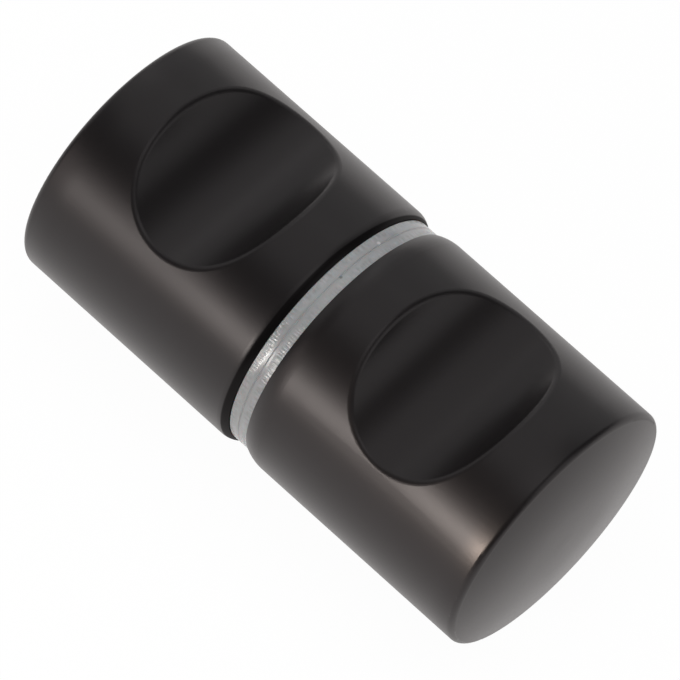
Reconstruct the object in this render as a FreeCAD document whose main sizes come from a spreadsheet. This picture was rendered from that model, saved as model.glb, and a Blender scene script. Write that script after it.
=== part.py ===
# Back-to-back shower door knob: two turned knobs with finger scoops, drawn together
# by one stud through a hole in the glass, with a clear gasket under each knob and a
# sleeve that keeps the stud off the glass.
# The door lies in the XZ plane, the knobs' axis is Y, the outside knob faces -Y and
# the origin is on that axis, midway between the two gaskets.
import FreeCAD
import Part
import Sketcher

import enum
import math
import os

# Driving sizes, in millimetres and degrees.
SIZES = {
    "knob_diameter": 30.0,
    "knob_length": 29.0,
    "end_rounding": 0.7,
    "end_dome_height": 1.6,
    "end_flat_radius": 0.5,
    "outside_crown_length": 2.0,
    "outside_crown_drop": 0.45,
    "inside_crown_length": 1.2,
    "inside_crown_drop": 0.5,
    "scoop_radius": 9.5,
    "scoop_depth": 4.8,
    "scoop_lip_rounding": 0.8,
    "knob_misalignment_angle": 5.7,
    "gasket_thickness": 1.25,
    "gasket_inset": 0.6,
    "gasket_edge_chamfer": 0.08,
    "stud_diameter": 8.0,
    "stud_length": 30.0,
    "stud_chamfer": 0.8,
    "socket_across_flats": 4.0,
    "socket_depth": 5.0,
    "thread_clearance": 0.05,
    "tapping_end_clearance": 1.5,
    "tapping_lead_in": 0.8,
    "drill_point_angle": 118.0,
    "sleeve_wall": 1.7,
    "sleeve_bore_clearance": 0.2,
    "sleeve_chamfer": 0.3,
    "pocket_depth": 2.0,
    "pocket_clearance": 0.2,
}

# Sizes that follow from the driving ones, as the features are bound to them.
KNOB_RADIUS = "Sizes.knob_diameter / 2"
DOME_RADIUS = f"(({KNOB_RADIUS})^2 / Sizes.end_dome_height + Sizes.end_dome_height) / 2"
DOME_CENTRE = f"Sizes.knob_length + Sizes.end_dome_height - {DOME_RADIUS}"
FLAT_HEIGHT = f"{DOME_CENTRE} + sqrt(({DOME_RADIUS})^2 - Sizes.end_flat_radius^2)"

# The rounding of a knob's end touches the barrel and the dome. Its centre is an offset from the
# axis and a rise above the dome's centre, and it meets the dome on the line through both centres.
ROUNDING_OFFSET = f"({KNOB_RADIUS} - Sizes.end_rounding)"
ROUNDING_RISE = f"sqrt(({DOME_RADIUS} - Sizes.end_rounding)^2 - {ROUNDING_OFFSET}^2)"
DOME_REACH = f"({DOME_RADIUS}) / ({DOME_RADIUS} - Sizes.end_rounding)"
ROUNDING_START = (KNOB_RADIUS, f"{DOME_CENTRE} + {ROUNDING_RISE}")
DOME_START = (f"{ROUNDING_OFFSET} * {DOME_REACH}", f"{DOME_CENTRE} + {ROUNDING_RISE} * {DOME_REACH}")

SCOOP_AXIS_OFFSET = f"{KNOB_RADIUS} + Sizes.scoop_radius - Sizes.scoop_depth"
SCOOP_AXIS_HEIGHT = "Sizes.knob_length / 2"
GASKET_RADIUS = f"{KNOB_RADIUS} - Sizes.gasket_inset"
STUD_RADIUS = "Sizes.stud_diameter / 2"
SOCKET_CORNER_RADIUS = "Sizes.socket_across_flats / 2 / cos(30)"
SLEEVE_BORE_RADIUS = f"{STUD_RADIUS} + Sizes.sleeve_bore_clearance"
SLEEVE_RADIUS = f"{SLEEVE_BORE_RADIUS} + Sizes.sleeve_wall"
SLEEVE_LENGTH = "2 * (Sizes.gasket_thickness + Sizes.pocket_depth - Sizes.pocket_clearance)"
POCKET_RADIUS = f"{SLEEVE_RADIUS} + Sizes.pocket_clearance"
TAPPING_RADIUS = f"{STUD_RADIUS} + Sizes.thread_clearance"
LEAD_IN_RADIUS = f"{TAPPING_RADIUS} + Sizes.tapping_lead_in"
LEAD_IN_DEPTH = "Sizes.pocket_depth + Sizes.tapping_lead_in"
TAPPING_DEPTH = "Sizes.stud_length / 2 - Sizes.gasket_thickness + Sizes.tapping_end_clearance"
DRILL_TIP_DEPTH = f"{TAPPING_DEPTH} + ({TAPPING_RADIUS}) / tan(Sizes.drill_point_angle / 2)"

# A piece is drawn along its own Z axis; these turns lay that axis along the door's normal.
FACING_INSIDE = "rotation(vector(1; 0; 0); -90)"
FACING_OUTSIDE = "rotation(vector(1; 0; 0); 90)"
MISALIGNED_INSIDE = f"{FACING_INSIDE} * rotation(vector(0; 0; 1); Sizes.knob_misalignment_angle)"

# How a sketch names its own origin: the axis that goes through it and that axis's start.
ORIGIN = (-1, 1)
HEXAGON_CORNERS = 6
SAME_PLACE = 1e-6


class At(enum.IntEnum):
    """How a sketch numbers the two ends of a line or arc, and a circle's centre."""

    START = 1
    END = 2
    CENTRE = 3


doc = FreeCAD.newDocument("ShowerDoorKnob")
sheet = doc.addObject("Spreadsheet::Sheet", "Sizes")
for row, (alias, value) in enumerate(SIZES.items(), start=1):
    sheet.set(f"A{row}", alias)
    sheet.set(f"B{row}", str(value))
    sheet.setAlias(f"B{row}", alias)
doc.recompute()


def size(expression):
    return float(sheet.evalExpression(expression))


def new_body(label, base, turn):
    """A body whose own origin stands at base along the door's normal, turned as given."""
    body = doc.addObject("PartDesign::Body", label)
    body.Label = label
    body.setExpression("Placement", f"placement(vector(0; {base}; 0); {turn})")
    return body


def origin_plane(body, role):
    return next(plane for plane in body.Origin.OriginFeatures if plane.Role == role)


def new_sketch(body, name, role):
    sketch = body.newObject("Sketcher::SketchObject", f"{body.Label}_{name}")
    sketch.AttachmentSupport = [(origin_plane(body, role), "")]
    sketch.MapMode = "FlatFace"
    return sketch


def dimension(sketch, name, kind, references, expression):
    """A named dimension of the sketch, bound to the sheet."""
    index = sketch.addConstraint(Sketcher.Constraint(kind, *references, size(expression)))
    sketch.renameConstraint(index, name)
    sketch.setExpression(f"Constraints.{name}", expression)


def draw_circle(sketch, name, radius, across="0", along="0"):
    """A circle of a bound radius, its centre held at its distances from the origin."""
    centre = FreeCAD.Vector(size(across), size(along), 0)
    circle = sketch.addGeometry(Part.Circle(centre, FreeCAD.Vector(0, 0, 1), size(radius)))
    dimension(sketch, f"{name}_radius", "Radius", (circle,), radius)
    dimension(sketch, f"{name}_across", "DistanceX", (*ORIGIN, circle, At.CENTRE), across)
    dimension(sketch, f"{name}_along", "DistanceY", (*ORIGIN, circle, At.CENTRE), along)


def outward_arc(start, end, radius):
    """The arc from start to end that bulges out of an outline drawn anticlockwise."""
    chord = end - start
    inward = FreeCAD.Vector(-chord.y, chord.x, 0).normalize()
    centre = (start + end) / 2 + inward * math.sqrt(radius**2 - (chord.Length / 2) ** 2)
    circle = Part.Circle(centre, FreeCAD.Vector(0, 0, 1), radius)
    return Part.ArcOfCircle(circle, circle.parameter(start), circle.parameter(end))


def draw_outline(sketch, corners, arcs=None):
    """A closed outline, drawn anticlockwise, each corner held at its distances from the origin.

    The edges are lines, apart from arcs of a bound radius that start at the corners named in arcs.
    """
    arcs = arcs or {}
    points = [FreeCAD.Vector(size(across), size(along), 0) for across, along in corners.values()]
    edges = {}
    for name, point, following in zip(corners, points, points[1:] + points[:1]):
        if name in arcs:
            shape = outward_arc(point, following, size(arcs[name]))
        else:
            shape = Part.LineSegment(point, following)
        edges[name] = sketch.addGeometry(shape)
    drawn = list(edges.values())
    for edge, following in zip(drawn, drawn[1:] + drawn[:1]):
        sketch.addConstraint(Sketcher.Constraint("Coincident", edge, At.END, following, At.START))
    for name, (across, along) in corners.items():
        dimension(sketch, f"{name}_across", "DistanceX", (*ORIGIN, edges[name], At.START), across)
        dimension(sketch, f"{name}_along", "DistanceY", (*ORIGIN, edges[name], At.START), along)
    for name, radius in arcs.items():
        dimension(sketch, f"{name}_radius", "Radius", (edges[name],), radius)


def turn_profile(body, kind, name, sketch):
    """A solid turned from the sketch, or a hollow turned out, round the body's own axis."""
    feature = body.newObject(f"PartDesign::{kind}", f"{body.Label}_{name}")
    feature.Profile = sketch
    feature.ReferenceAxis = (sketch, ["V_Axis"])
    doc.recompute()
    return feature


def pad(body, name, sketch, length):
    feature = body.newObject("PartDesign::Pad", f"{body.Label}_{name}")
    feature.Profile = sketch
    feature.setExpression("Length", length)
    doc.recompute()
    return feature


def pocket(body, name, sketch, length, before, **settings):
    """A cut of a bound length, which has to take something off the feature before it."""
    feature = body.newObject("PartDesign::Pocket", f"{body.Label}_{name}")
    feature.Profile = sketch
    for setting, choice in settings.items():
        setattr(feature, setting, choice)
    feature.setExpression("Length", length)
    doc.recompute()
    check_cut(before, feature)
    return feature


def fillet(body, name, before, references, radius):
    feature = body.newObject("PartDesign::Fillet", f"{body.Label}_{name}")
    feature.Base = (before, references)
    feature.setExpression("Radius", radius)
    doc.recompute()
    return feature


def chamfer(body, name, before, references, width):
    feature = body.newObject("PartDesign::Chamfer", f"{body.Label}_{name}")
    feature.Base = (before, references)
    feature.setExpression("Size", width)
    doc.recompute()
    return feature


def check_cut(before, after):
    if after.Shape.Volume >= before.Shape.Volume:
        raise RuntimeError(f"{after.Name} cuts nothing")


def rim_edges(feature, height):
    """Names of the feature's circular edges at one height of its own axis."""
    names = []
    for number, edge in enumerate(feature.Shape.Edges, start=1):
        if isinstance(edge.Curve, Part.Circle) and abs(edge.Curve.Center.z - height) < SAME_PLACE:
            names.append(f"Edge{number}")
    return names


def round_faces(feature, radius):
    """Names of the feature's cylindrical faces of one radius."""
    names = []
    for number, face in enumerate(feature.Shape.Faces, start=1):
        if isinstance(face.Surface, Part.Cylinder) and abs(face.Surface.Radius - radius) < SAME_PLACE:
            names.append(f"Face{number}")
    return names


def cut_scoops(body, barrel):
    """Two opposite channels across the knob, hollowed by a round cutter, with soft lips."""
    sketch = new_sketch(body, "scoop_outline", "YZ_Plane")
    draw_circle(sketch, "cutter", "Sizes.scoop_radius", SCOOP_AXIS_OFFSET, SCOOP_AXIS_HEIGHT)
    scoop = pocket(body, "scoop", sketch, "2 * Sizes.knob_diameter", barrel, SideType="Symmetric")
    pair = body.newObject("PartDesign::Mirrored", f"{body.Label}_scoop_pair")
    pair.Originals = [scoop]
    pair.MirrorPlane = (origin_plane(body, "XZ_Plane"), [""])
    body.Tip = pair
    doc.recompute()
    check_cut(scoop, pair)
    hollows = round_faces(pair, size("Sizes.scoop_radius"))
    return fillet(body, "scoop_lips", pair, hollows, "Sizes.scoop_lip_rounding")


def cut_tapping(body, solid):
    """Blind tapped hole with a drilled point, under a wider pocket for the sleeve's end."""
    sketch = new_sketch(body, "tapping_outline", "XZ_Plane")
    draw_outline(sketch, {
        "seat_centre": ("0", "0"),
        "pocket_mouth": (POCKET_RADIUS, "0"),
        "pocket_floor": (POCKET_RADIUS, "Sizes.pocket_depth"),
        "lead_in_start": (LEAD_IN_RADIUS, "Sizes.pocket_depth"),
        "thread_start": (TAPPING_RADIUS, LEAD_IN_DEPTH),
        "thread_end": (TAPPING_RADIUS, TAPPING_DEPTH),
        "drill_tip": ("0", DRILL_TIP_DEPTH),
    })
    tapping = turn_profile(body, "Groove", "tapping", sketch)
    check_cut(solid, tapping)


def make_knob(label, base, turn, crown):
    """One turned knob, its seat at its own origin and its end slightly domed, with a soft rim.

    The edge of the seat is a crown, an arc that touches the barrel, of the length and drop named.
    """
    length = f"Sizes.{crown}_length"
    drop = f"Sizes.{crown}_drop"
    body = new_body(label, base, turn)
    sketch = new_sketch(body, "outline", "XZ_Plane")
    corners = {
        "seat_centre": ("0", "0"),
        "crown_start": (f"{KNOB_RADIUS} - {drop}", "0"),
        "crown_end": (KNOB_RADIUS, length),
        "rounding_start": ROUNDING_START,
        "dome_start": DOME_START,
        "dome_end": ("Sizes.end_flat_radius", FLAT_HEIGHT),
        "end_centre": ("0", FLAT_HEIGHT),
    }
    arcs = {
        "crown_start": f"({length}^2 / {drop} + {drop}) / 2",
        "rounding_start": "Sizes.end_rounding",
        "dome_start": DOME_RADIUS,
    }
    draw_outline(sketch, corners, arcs)
    barrel = turn_profile(body, "Revolution", "barrel", sketch)
    cut_tapping(body, cut_scoops(body, barrel))
    return body


def make_gasket(label, turn):
    """One clear washer, its glass side at its own origin."""
    body = new_body(label, "0", turn)
    sketch = new_sketch(body, "outline", "XY_Plane")
    draw_circle(sketch, "rim", GASKET_RADIUS)
    draw_circle(sketch, "bore", POCKET_RADIUS)
    disc = pad(body, "disc", sketch, "Sizes.gasket_thickness")
    rim = round_faces(disc, size(GASKET_RADIUS))
    chamfer(body, "edges", disc, rim, "Sizes.gasket_edge_chamfer")
    return body


def make_stud(label):
    """A headless screw with a hexagon socket in the end at its own origin."""
    body = new_body(label, "Sizes.stud_length / 2", FACING_OUTSIDE)
    sketch = new_sketch(body, "outline", "XY_Plane")
    draw_circle(sketch, "shank", STUD_RADIUS)
    shank = pad(body, "shank", sketch, "Sizes.stud_length")
    ends = rim_edges(shank, 0.0) + rim_edges(shank, size("Sizes.stud_length"))
    tapered = chamfer(body, "ends", shank, ends, "Sizes.stud_chamfer")
    sketch = new_sketch(body, "socket_outline", "XY_Plane")
    corners = {}
    for corner in range(HEXAGON_CORNERS):
        turn = f"{corner} * 360 / {HEXAGON_CORNERS}"
        across = f"{SOCKET_CORNER_RADIUS} * cos({turn})"
        along = f"{SOCKET_CORNER_RADIUS} * sin({turn})"
        corners[f"corner_{corner}"] = (across, along)
    draw_outline(sketch, corners)
    pocket(body, "socket", sketch, "Sizes.socket_depth", tapered, Reversed=True)
    return body


def make_sleeve(label):
    """The sleeve that fills the hole in the glass, its ends in the knobs' pockets."""
    body = new_body(label, f"-({SLEEVE_LENGTH}) / 2", FACING_INSIDE)
    sketch = new_sketch(body, "outline", "XY_Plane")
    draw_circle(sketch, "outside", SLEEVE_RADIUS)
    draw_circle(sketch, "bore", SLEEVE_BORE_RADIUS)
    tube = pad(body, "tube", sketch, SLEEVE_LENGTH)
    outside = round_faces(tube, size(SLEEVE_RADIUS))
    chamfer(body, "ends", tube, outside, "Sizes.sleeve_chamfer")
    return body


def export_parts(bodies):
    for item in doc.Objects:
        if "Invalid" in item.State or "Error" in item.State:
            raise RuntimeError(f"{item.Label} failed: {item.State}")
    for body in bodies:
        if body.Shape.isNull() or not body.Shape.isValid():
            raise RuntimeError(f"{body.Label} has no valid shape")
    os.makedirs("parts", exist_ok=True)
    for body in bodies:
        body.Shape.exportStep(f"parts/{body.Label}.step")
        print(f"{body.Label}: {body.Shape.Volume:.1f} cubic mm")


pieces = [
    make_knob("outside_knob", "-Sizes.gasket_thickness", FACING_OUTSIDE, "outside_crown"),
    make_knob("inside_knob", "Sizes.gasket_thickness", MISALIGNED_INSIDE, "inside_crown"),
    make_gasket("outside_gasket", FACING_OUTSIDE),
    make_gasket("inside_gasket", FACING_INSIDE),
    make_stud("joining_stud"),
    make_sleeve("glass_hole_sleeve"),
]
doc.recompute()
export_parts(pieces)
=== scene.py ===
import math

import bpy
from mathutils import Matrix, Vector


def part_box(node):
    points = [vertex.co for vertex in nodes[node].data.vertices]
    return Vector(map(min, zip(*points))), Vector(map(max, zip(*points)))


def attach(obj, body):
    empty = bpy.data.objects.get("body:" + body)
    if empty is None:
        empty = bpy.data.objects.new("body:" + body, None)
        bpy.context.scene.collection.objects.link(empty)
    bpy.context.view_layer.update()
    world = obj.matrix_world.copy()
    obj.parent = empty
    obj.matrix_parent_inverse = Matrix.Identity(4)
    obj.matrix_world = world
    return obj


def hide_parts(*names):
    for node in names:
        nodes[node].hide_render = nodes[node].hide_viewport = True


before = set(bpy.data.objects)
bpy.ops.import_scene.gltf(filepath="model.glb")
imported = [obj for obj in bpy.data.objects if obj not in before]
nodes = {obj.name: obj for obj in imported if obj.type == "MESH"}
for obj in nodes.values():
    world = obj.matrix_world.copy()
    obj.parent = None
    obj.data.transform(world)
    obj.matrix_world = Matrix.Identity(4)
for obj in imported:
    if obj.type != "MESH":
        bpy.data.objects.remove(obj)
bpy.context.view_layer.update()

bpy.ops.object.select_all(action="DESELECT")
print("loaded", len(nodes), "nodes")


class Shade:
    # wraps one output of a node, so that shader maths reads as plain arithmetic
    def __init__(self, tree, socket=None):
        self.tree = tree
        self.socket = socket

    def node(self, kind, settings=None, sockets=None, output=0):
        made = self.tree.nodes.new("ShaderNode" + kind)
        for name, value in (settings or {}).items():
            setattr(made, name, value)
        for name, value in (sockets or {}).items():
            if isinstance(value, Shade):
                self.tree.links.new(value.socket, made.inputs[name])
            else:
                made.inputs[name].default_value = value
        return Shade(self.tree, made.outputs[output] if made.outputs else None)

    def math(self, operation, first, second=0):
        return self.node("Math", {"operation": operation}, {0: first, 1: second})

    def fade(self, value, start, end, first=0, last=1, kind="SMOOTHSTEP"):
        # goes from first to last while the value goes from start to end
        return self.node("MapRange", {"interpolation_type": kind}, {
            "Value": value, "From Min": start, "From Max": end, "To Min": first, "To Max": last})

    def noise(self, place, scale, detail):
        return self.node("TexNoise", sockets={"Vector": place, "Scale": scale, "Detail": detail})

    def axes(self, place):
        return [self.node("SeparateXYZ", sockets={"Vector": place}, output=axis) for axis in "XYZ"]

    def __add__(self, other):
        return self.math("ADD", self, other)

    def __sub__(self, other):
        return self.math("SUBTRACT", self, other)

    def __rsub__(self, other):
        return self.math("SUBTRACT", other, self)

    def __mul__(self, other):
        return self.math("MULTIPLY", self, other)

    __radd__ = __add__
    __rmul__ = __mul__


def newFinish(name):
    finish = bpy.data.materials.new(name)
    finish.use_nodes = True
    finish.node_tree.nodes.clear()
    return finish, Shade(finish.node_tree)


def showFinish(shade, surface):
    shade.node("OutputMaterial", sockets={"Surface": surface})


def paint(piece, finish):
    piece.data.materials.clear()
    piece.data.materials.append(finish)


# camera, where the photograph was taken from
shot = {
    "lens": 385.32,
    "sensor": 36,
    "nearest": 0.01,
    "place": (-0.236758, -0.215282, 0.661958),
    "turn": (25.769, -1.015, -45.646),  # degrees
}

bpy.ops.object.camera_add(location=shot["place"], rotation=[math.radians(turn) for turn in shot["turn"]])
camera = bpy.context.object
camera.name = "photo_camera"
camera.data.lens = shot["lens"]
camera.data.sensor_width = shot["sensor"]
camera.data.clip_start = shot["nearest"]
bpy.context.scene.camera = camera
print("camera set")


# white table that the handle lies on
table = {
    "size": 8,
    "height": -0.015,
    "white": (0.9, 0.9, 0.9, 1),
    "warm": (0.03, 0.04),  # green and blue that reflections of it lose
    "glow": 0.97,  # share of plain white that the camera and reflections see, the rest keeps the shadow
}

bpy.ops.mesh.primitive_plane_add(size=table["size"], location=(0, 0, table["height"]))
floor = bpy.context.object
floor.name = "white_table"

finish, shade = newFinish("white_table")
lightPath = {}
for ray in ("Is Camera Ray", "Is Glossy Ray", "Is Transmission Ray"):
    lightPath[ray] = shade.node("LightPath", output=ray)
seen = shade.math("MAXIMUM", lightPath["Is Camera Ray"], lightPath["Is Glossy Ray"])
seen = shade.math("MAXIMUM", seen, lightPath["Is Transmission Ray"])
lit = shade.node("BsdfDiffuse", sockets={"Color": table["white"]})
warm = 1 - lightPath["Is Camera Ray"]
lostGreen, lostBlue = table["warm"]
tone = shade.node("CombineColor", sockets={
    "Red": 1, "Green": 1 - warm * lostGreen, "Blue": 1 - warm * lostBlue})
glow = shade.node("Emission", sockets={"Color": tone, "Strength": 1})
showFinish(shade, shade.node("MixShader", sockets={0: seen * table["glow"], 1: lit, 2: glow}))
paint(floor, finish)
print("table made")


# soft boxes and the room, all aimed at the handle, white where no tint is given
lamps = {
    "left_key": {
        "place": (-0.461, 0.078, 0.178), "size": (0.24, 0.12), "power": 0.43, "tint": (1, 0.98, 0.94)},
    "left_near": {
        "place": (-0.225, 0.033, 0.091), "size": (0.05, 0.05), "power": 0.078, "tint": (1, 0.94, 0.87)},
    "rim_glint": {
        "place": (-0.064, -0.029, 0.031), "size": (0.012, 0.012), "power": 0.02, "tint": (1, 0.84, 0.7)},
    "left_wall": {
        "place": (-0.732, 0.423, 0.308), "size": (0.7, 0.5), "power": 1.35, "tint": (1, 0.9, 0.86)},
    "right_wall": {"place": (0.747, 0.272, 0.422), "size": (1, 0.7), "power": 1.17},
    "back_wall": {"place": (0.205, 0.768, 0.422), "size": (1, 0.7), "power": 1.12},
    "front_fill": {"place": (0.214, -0.799, 0.356), "size": (0.6, 0.6), "power": 0.85},
    "ceiling": {"place": (0.19, 0.19, 0.97), "size": (0.8, 1.06), "power": 1.45},
    "ceiling_front": {"place": (0, -0.259, 0.966), "size": (0.5, 0.5), "power": 0.36},
    "soft_fill": {"place": (0, -0.15, 0.98), "size": (1, 1), "power": 7},
}
roomWhite = (1, 1, 1, 1)
roomLight = 0.07

for name, lamp in lamps.items():
    bpy.ops.object.light_add(type="AREA", location=lamp["place"])
    light = bpy.context.object
    light.name = name
    light.rotation_euler = Vector(lamp["place"]).to_track_quat("Z", "Y").to_euler()
    light.data.shape = "RECTANGLE"
    light.data.size, light.data.size_y = lamp["size"]
    light.data.energy = lamp["power"]
    light.data.color = lamp.get("tint", (1, 1, 1))
    light.visible_camera = False

# the fill brings the light up to a plain level, without an image of its own on the knobs
bpy.data.objects["soft_fill"].visible_glossy = False

# the small lamp only lights the outside knob
glintShare = bpy.data.collections.new("glint_share")
glintShare.objects.link(nodes["outside_knob"])
bpy.data.objects["rim_glint"].light_linking.receiver_collection = glintShare

world = bpy.data.worlds.new("room")
world.use_nodes = True
background = world.node_tree.nodes["Background"]
background.inputs["Color"].default_value = roomWhite
background.inputs["Strength"].default_value = roomLight
bpy.context.scene.world = world
bpy.context.scene.view_settings.view_transform = "Standard"
print("lights set")


# satin black knobs
knobBlack = {
    "colour": (0.0044, 0.0037, 0.004, 1),
    "sheen": (1, 0.945, 0.955, 1),
    "ior": 1.47,
    "roughness": 0.345,
    "cloudScale": 90,  # broad patches in the coat
    "cloudRough": 0.05,
    "grainScale": 5200,  # fine grain of the coat
    "grainRough": 0.06,
    "grainStrength": 0.05,
    "grainHeight": 0.0001,
    "edgeStart": 0.0272,  # along the axis, where the coat starts to round over the rim
    "edgeLength": 0.0032,
    "edgeCurve": 56,  # how fast it turns, per metre
    "radius": 0.015,
    "domeStart": 0.005,  # from the axis, where the end face starts to turn faster
    "domeCurve": 14,
    "domeEnd": (0.022, 0.027),  # along the axis, clear of the scoops
    "corner": (0.0019, 0.0021),  # along the axis, where the painted shade strip beside the inside gasket ends
    "cornerLean": 0.035,  # how much it narrows towards +X
    "cornerColour": (0.0025, 0.0022, 0.0022, 1),
    "cornerShare": 0.75,  # of the dull dark finish, painted shade, on the strip
}

finish, shade = newFinish("knob_satin_black")
place = shade.node("TexCoord", output="Object")
across, along, up = shade.axes(place)
# painted shade: a dull, darker strip on the inside knob's rounded edge beside the gasket, where that edge
# faces away into shade
fromGasket = along + shade.math("MAXIMUM", across, 0) * knobBlack["cornerLean"]
corner = shade.fade(fromGasket, *knobBlack["corner"], first=1, last=0)
corner = corner * shade.math("GREATER_THAN", along, 0)  # the outside knob has no painted shade strip
along = shade.math("ABSOLUTE", along)
edge = shade.math("MAXIMUM", along - knobBlack["edgeStart"], 0)
edge = shade.math("MINIMUM", edge, knobBlack["edgeLength"])
fromAxis = shade.math("POWER", across * across + up * up, 0.5)
dome = shade.math("MAXIMUM", fromAxis - knobBlack["domeStart"], 0)
domeReach = knobBlack["radius"] - knobBlack["domeStart"]
onEnd = shade.fade(along, *knobBlack["domeEnd"])
dome = onEnd * (domeReach ** 2 - dome * dome) * (knobBlack["domeCurve"] / 2)
edgeBump = shade.node("Bump", sockets={
    "Strength": 1, "Distance": 1, "Height": dome - edge * edge * (knobBlack["edgeCurve"] / 2)})
cloud = shade.noise(place, knobBlack["cloudScale"], 3)
grain = shade.noise(place, knobBlack["grainScale"], 2)
rough = knobBlack["roughness"] + (cloud - 0.5) * knobBlack["cloudRough"]
rough = rough + (grain - 0.5) * knobBlack["grainRough"]
grainBump = shade.node("Bump", sockets={
    "Strength": knobBlack["grainStrength"], "Distance": knobBlack["grainHeight"], "Height": grain,
    "Normal": edgeBump})
satin = shade.node("BsdfPrincipled", sockets={
    "Base Color": knobBlack["colour"], "Roughness": rough, "Normal": grainBump, "IOR": knobBlack["ior"],
    "Specular Tint": knobBlack["sheen"]})
paintedShadeFinish = shade.node("BsdfDiffuse", sockets={"Color": knobBlack["cornerColour"], "Normal": grainBump})
showFinish(shade, shade.node("MixShader", sockets={0: corner * knobBlack["cornerShare"], 1: satin, 2: paintedShadeFinish}))
for name in ("outside_knob", "inside_knob"):
    paint(nodes[name], finish)
print("knobs finished")


# hazy clear gaskets, with marks of the cut across their rims
gasketClear = {
    "grey": 0.3,
    "tone": (0.95, 0.975),  # red and green against the blue
    "alpha": 0.92,
    "ior": 1.7,
    "milk": 0.3,  # share of the light that scatters inside
    "milkDepth": 0.0008,
    "hazeScale": 260,
    "hazeShade": 0.04,
    "roughness": 0.15,
    "rimRadius": 0.0144,
    "ribs": 41,  # cut marks to a radian
    "ribLength": 0.0011,
    "ribHeight": 0.00005,
    "ribRough": 0.12,
    "ribShade": 0.16,
    "barDepth": 0.25,  # of the even bars among the ribs
    "barWander": 5,  # how far the bars stray from even steps, in radians
    "thickness": 0.00125,
    "edge": 0.00015,  # width of the pale line along a rim's edge
    "edgeShade": 0.05,
    "groove": 0.0001,  # half the width of the groove between the two gaskets, which is painted lighter to lift its shade
    "paintedGrooveLight": 0.12,
    "seam": 0.0003,  # half the width of the line along the groove, darker in patches
    "seamShade": 0.08,
    "fleckScale": 9,  # of the darker patches along it
    "specks": (  # specks, one darker and one lighter: angle round the rim, place along the axis, radius, change of grey
        (-0.012, -0.00013, 0.00022, -0.17),
        (0.402, 0.00022, 0.00026, 0.2),
    ),
}

finish, shade = newFinish("gasket_clear")
place = shade.node("TexCoord", output="Object")
across, along, up = shade.axes(place)
angle = shade.math("ARCTAN2", across, up)
rim = shade.node("CombineXYZ", sockets={
    "X": angle * gasketClear["ribs"], "Y": along * (1 / gasketClear["ribLength"])})
ribs = shade.node("TexNoise", {"noise_dimensions": "2D"}, {"Vector": rim, "Scale": 1, "Detail": 2})
bars = angle * (gasketClear["ribs"] * 2 * math.pi) + ribs * gasketClear["barWander"]
bars = shade.math("SINE", bars) * (gasketClear["barDepth"] / 2)
haze = shade.noise(place, gasketClear["hazeScale"], 3)
fleck = shade.node("TexNoise", {"noise_dimensions": "1D"}, {
    "W": angle, "Scale": gasketClear["fleckScale"], "Detail": 3})
depth = shade.math("ABSOLUTE", along)
# painted light: the groove between the gaskets is painted lighter, to lift the shade in it
groove = shade.fade(depth, 0, gasketClear["groove"], 1, 0)
seam = shade.fade(depth, 0, gasketClear["seam"], 1, 0)
edge = shade.fade(depth, gasketClear["thickness"] - gasketClear["edge"], gasketClear["thickness"])
marked = shade.fade(depth, gasketClear["seam"], gasketClear["thickness"] / 2, kind="LINEAR")
grey = gasketClear["grey"] + (haze - 0.5) * gasketClear["hazeShade"]
grey = grey + (ribs - 0.5) * marked * gasketClear["ribShade"] + edge * gasketClear["edgeShade"]
grey = grey + groove * gasketClear["paintedGrooveLight"] - seam * fleck * gasketClear["seamShade"]
for turn, spot, size, change in gasketClear["specks"]:
    around = (angle - turn) * gasketClear["rimRadius"]
    beside = along - spot
    speck = shade.fade(around * around + beside * beside, 0, size ** 2, 1, 0, kind="LINEAR")
    grey = grey + speck * change
redShare, greenShare = gasketClear["tone"]
tone = shade.node("CombineColor", sockets={"Red": grey * redShare, "Green": grey * greenShare, "Blue": grey})
rough = gasketClear["roughness"] + (ribs - 0.5) * gasketClear["ribRough"]
ribBump = shade.node("Bump", sockets={
    "Strength": 1, "Distance": gasketClear["ribHeight"], "Height": (ribs + bars) * marked})
clear = shade.node("BsdfPrincipled", sockets={
    "Base Color": tone, "Roughness": rough, "Normal": ribBump, "Alpha": gasketClear["alpha"],
    "IOR": gasketClear["ior"], "Subsurface Weight": gasketClear["milk"],
    "Subsurface Scale": gasketClear["milkDepth"]})
showFinish(shade, clear)
for name in ("outside_gasket", "inside_gasket"):
    paint(nodes[name], finish)
print("gaskets finished")


# threaded stud that draws the knobs together
stud = {
    "pitch": 0.00125,  # coarse thread of an 8 mm stud
    "depth": 0.00077,  # crest to root
    "crest": 0.00016,  # flat along the top of the thread
    "root": 0.00031,  # flat along its bottom
    "facets": 36,  # steps round one turn
    "spareTurns": 2,  # wound past the ends, then cut off
    "chamfer": 0.0008,
    "margin": 0.00023,  # how far the cutters reach past the stud
    "weld": 0.0000023,  # distance at which points are merged
    "slack": 0.00000023,  # tolerance of the cuts across the ends
    "rimAngle": 60,  # degrees, edges of the blank sharper than this are chamfered
    "smoothAngle": 25,  # degrees, and those of the finished stud stay sharp
    "socketSides": 6,
    "socketFlats": 0.004,  # across the hexagon
    "socketDepth": 0.005,
    "colour": (0.56, 0.57, 0.58, 1),
    "roughness": 0.3,
    "spangleScale": 1400,  # crystals of the plating
    "spangleRough": 0.2,
    "spangleStrength": 0.1,
    "spangleHeight": 0.00005,
}

low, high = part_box("joining_stud")
studRadius = high[0]
studLength = high[1] - low[1]
turns = math.ceil(studLength / stud["pitch"]) + stud["spareTurns"]
flank = (stud["pitch"] - stud["crest"] - stud["root"]) / 2

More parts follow.
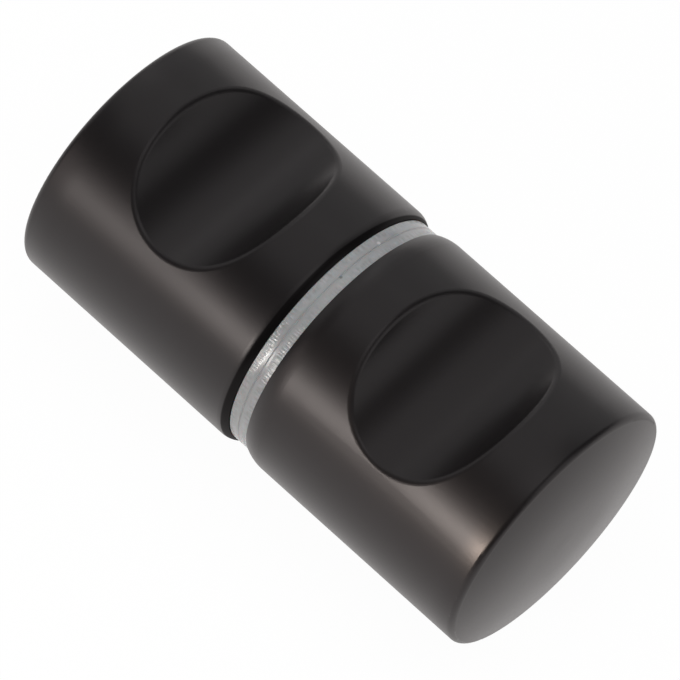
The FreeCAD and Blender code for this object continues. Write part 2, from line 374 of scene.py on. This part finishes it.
# one pitch of the thread, drawn from a single point
bpy.ops.mesh.primitive_plane_add(size=stud["pitch"])
thread = bpy.context.object
thread.name = "threaded_stud"
bpy.ops.object.mode_set(mode="EDIT")
bpy.ops.mesh.merge(type="CENTER")
bpy.ops.transform.translate(value=(studRadius - stud["depth"], 0, -(turns + 1) * stud["pitch"] / 2))
profile = ((0, stud["root"]), (stud["depth"], flank), (0, stud["crest"]), (-stud["depth"], flank))
for outward, forward in profile:
    bpy.ops.mesh.extrude_vertices_move(TRANSFORM_OT_translate={"value": (outward, 0, forward)})
bpy.ops.object.mode_set(mode="OBJECT")

winding = thread.modifiers.new("winding", "SCREW")
winding.axis = "Z"
winding.screw_offset = stud["pitch"]
winding.iterations = turns
winding.steps = stud["facets"]
winding.render_steps = stud["facets"]
bpy.ops.object.modifier_apply(modifier="winding")
bpy.ops.object.mode_set(mode="EDIT")
bpy.ops.mesh.select_all(action="SELECT")
bpy.ops.mesh.remove_doubles(threshold=stud["weld"])
for side in (1, -1):
    bpy.ops.mesh.select_all(action="SELECT")
    bpy.ops.mesh.bisect(plane_co=(0, 0, side * (studLength / 2 + stud["margin"])), plane_no=(0, 0, side),
                        use_fill=True, clear_outer=True, threshold=stud["slack"])
bpy.ops.mesh.select_all(action="SELECT")
bpy.ops.mesh.normals_make_consistent(inside=False)
bpy.ops.object.mode_set(mode="OBJECT")

# the chamfered blank that the thread was cut on
bpy.ops.mesh.primitive_cylinder_add(
    vertices=stud["facets"], radius=studRadius + stud["margin"], depth=studLength)
blank = bpy.context.object
bpy.ops.object.mode_set(mode="EDIT")
bpy.ops.mesh.select_mode(type="EDGE")
bpy.ops.mesh.select_all(action="DESELECT")
bpy.ops.mesh.edges_select_sharp(sharpness=math.radians(stud["rimAngle"]))
bpy.ops.mesh.bevel(offset=stud["chamfer"] + stud["margin"], segments=1)
bpy.ops.object.mode_set(mode="OBJECT")

# hexagon socket in the inside end
socketHeight = stud["socketDepth"] + stud["margin"]
halfSide = math.pi / stud["socketSides"]  # angle of half a side, seen from the axis
bpy.ops.mesh.primitive_cylinder_add(
    vertices=stud["socketSides"], radius=stud["socketFlats"] / 2 / math.cos(halfSide), depth=socketHeight,
    location=(0, 0, studLength / 2 + stud["margin"] - socketHeight / 2), rotation=(0, 0, halfSide))
socket = bpy.context.object

bpy.context.view_layer.objects.active = thread
for cutter, operation in ((blank, "INTERSECT"), (socket, "DIFFERENCE")):
    cut = thread.modifiers.new("cut", "BOOLEAN")
    cut.operation = operation
    cut.object = cutter
    bpy.ops.object.modifier_apply(modifier="cut")
    bpy.data.objects.remove(cutter)

bpy.ops.object.select_all(action="DESELECT")
thread.select_set(True)
thread.rotation_euler.x = math.radians(-90)  # the thread was wound along Z
bpy.ops.object.transform_apply(location=True, rotation=True, scale=True)
bpy.ops.object.shade_smooth_by_angle(angle=math.radians(stud["smoothAngle"]))
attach(thread, "root")
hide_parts("joining_stud")

finish, shade = newFinish("stud_steel")
place = shade.node("TexCoord", output="Object")
spangle = shade.noise(place, stud["spangleScale"], 4)
rough = stud["roughness"] + (spangle - 0.5) * stud["spangleRough"]
plateBump = shade.node("Bump", sockets={
    "Strength": stud["spangleStrength"], "Distance": stud["spangleHeight"], "Height": spangle})
plate = shade.node("BsdfPrincipled", sockets={
    "Base Color": stud["colour"], "Metallic": 1, "Roughness": rough, "Normal": plateBump})
showFinish(shade, plate)
paint(thread, finish)
print("stud threaded,", len(thread.data.polygons), "faces")


# nylon sleeve in the hole of the glass
sleeve = {
    "colour": (0.82, 0.81, 0.78, 1),
    "roughness": 0.5,
    "milk": 0.2,  # share of the light that scatters inside
    "flowScale": 420,  # marks of the moulding
    "flowRough": 0.15,
    "flowStrength": 0.15,
    "flowHeight": 0.0001,
}

finish, shade = newFinish("sleeve_nylon")
place = shade.node("TexCoord", output="Object")
flow = shade.noise(place, sleeve["flowScale"], 3)
rough = sleeve["roughness"] + (flow - 0.5) * sleeve["flowRough"]
flowBump = shade.node("Bump", sockets={
    "Strength": sleeve["flowStrength"], "Distance": sleeve["flowHeight"], "Height": flow})
nylon = shade.node("BsdfPrincipled", sockets={
    "Base Color": sleeve["colour"], "Roughness": rough, "Normal": flowBump,
    "Subsurface Weight": sleeve["milk"]})
showFinish(shade, nylon)
paint(nodes["glass_hole_sleeve"], finish)
print("sleeve finished")
